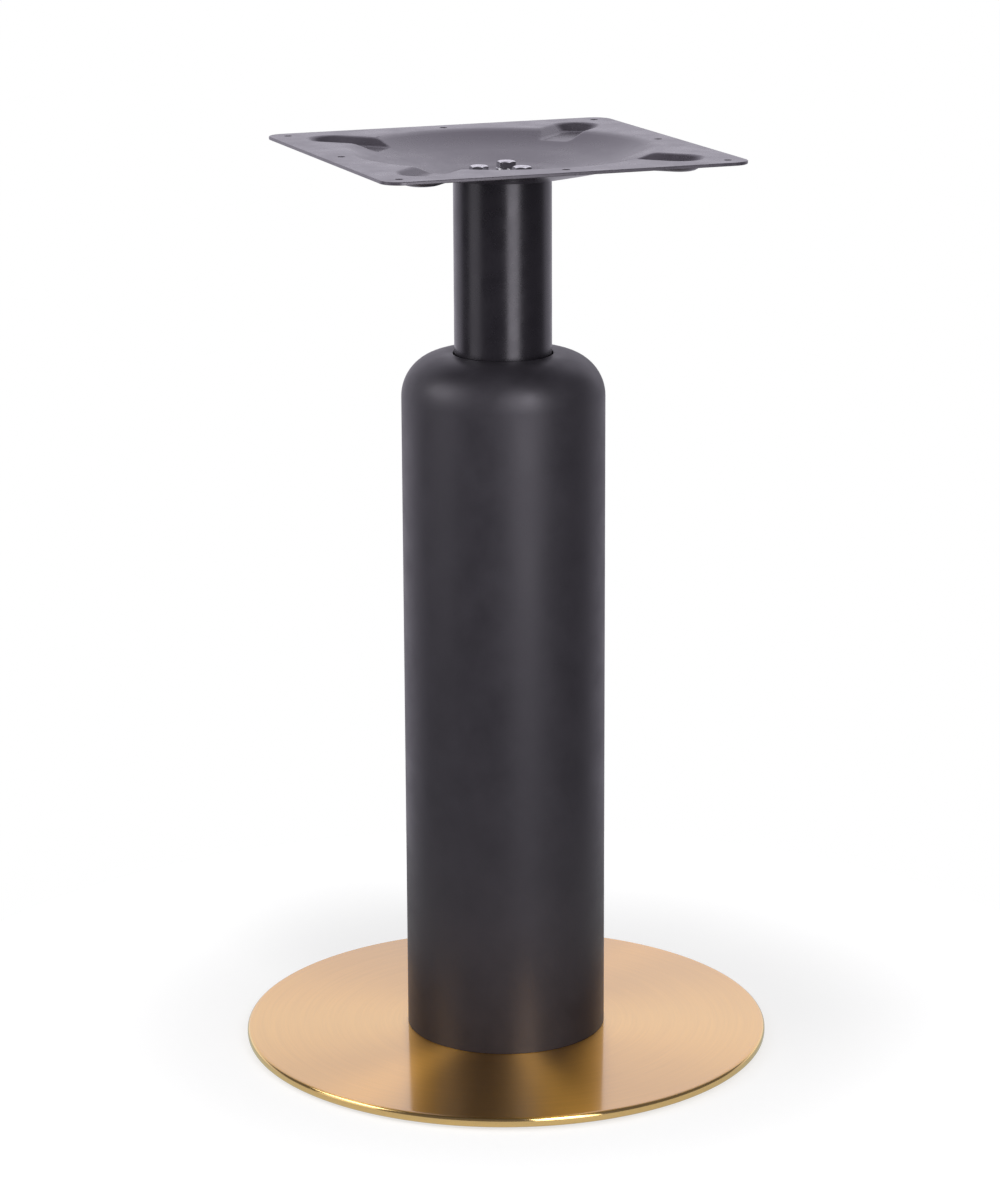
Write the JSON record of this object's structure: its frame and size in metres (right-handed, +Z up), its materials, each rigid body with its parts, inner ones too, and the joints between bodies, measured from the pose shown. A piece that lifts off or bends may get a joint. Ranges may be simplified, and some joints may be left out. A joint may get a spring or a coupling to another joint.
{
  "type": "table base",
  "caption": "Pedestal table base: round brushed brass-coloured disc foot, black column sleeve with a rounded shoulder over a slim tube, and a square pressed top plate with screw holes.",
  "frame": {"origin": "on the floor, under the column's axis", "axes": "+Z up along the column, X and Y along the sides of the square top plate"},
  "size_m": [0.4199, 0.42, 0.72],
  "materials": {
    "brushed_brass": "circular brushed top with a polished rim",
    "matt_black": "matt black powder coat",
    "satin_black": "satin black powder coat",
    "plate_black": "matt black powder coat",
    "raw_steel": "plain mill steel",
    "zinc": "bright zinc plate",
    "pad": "moulded, matt"
  },
  "bodies": {
    "root": {"base_cover": "brushed_brass", "base_weight": "raw_steel", "base_screws": "zinc", "foot_flange": "raw_steel", "foot_weld": "raw_steel", "column_tube": "satin_black", "head_flange": "raw_steel", "head_weld": "raw_steel", "column_sleeve": "matt_black", "top_plate": "plate_black", "plate_washers": "zinc", "plate_bolts": "zinc", "glide_pad_1": "pad", "glide_pad_2": "pad", "glide_pad_3": "pad", "glide_pad_4": "pad", "glide_pad_5": "pad", "glide_pad_6": "pad"}
  },
  "joints": []
}
